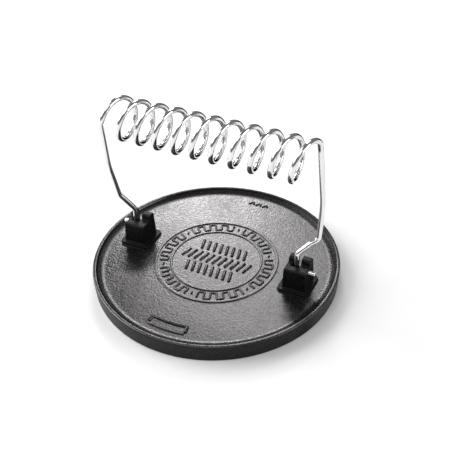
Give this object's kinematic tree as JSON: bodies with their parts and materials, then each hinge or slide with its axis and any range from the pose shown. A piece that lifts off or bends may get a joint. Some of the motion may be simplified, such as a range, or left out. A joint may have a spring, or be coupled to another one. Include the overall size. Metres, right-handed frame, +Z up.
{
  "type": "grill press",
  "caption": "Round rimmed cast-iron press plate with two slotted lugs and an upright coiled-wire handle that folds back.",
  "frame": {"origin": "centre of the flat pressing face, on the surface that the press stands on", "axes": "+X from the left lug to the right lug, along the handle's coil; +Y to the back, the way the handle folds; +Z up"},
  "size_m": [0.1904, 0.1904, 0.1381],
  "materials": {
    "black_cast_iron": "seasoned black cast iron, fine pebbled skin, semi-gloss",
    "chrome_wire": "bright chrome-plated round wire"
  },
  "bodies": {
    "base": {"press_plate": "black_cast_iron", "left_lug": "black_cast_iron", "right_lug": "black_cast_iron"},
    "handle": {"coil_handle": "chrome_wire"}
  },
  "joints": [
    {"name": "handle_fold", "type": "hinge", "parent": "base", "child": "handle", "pos_m": [0, 0, 0.0253], "axis": [1, 0, 0], "range_deg": [-85, 0]}
  ]
}
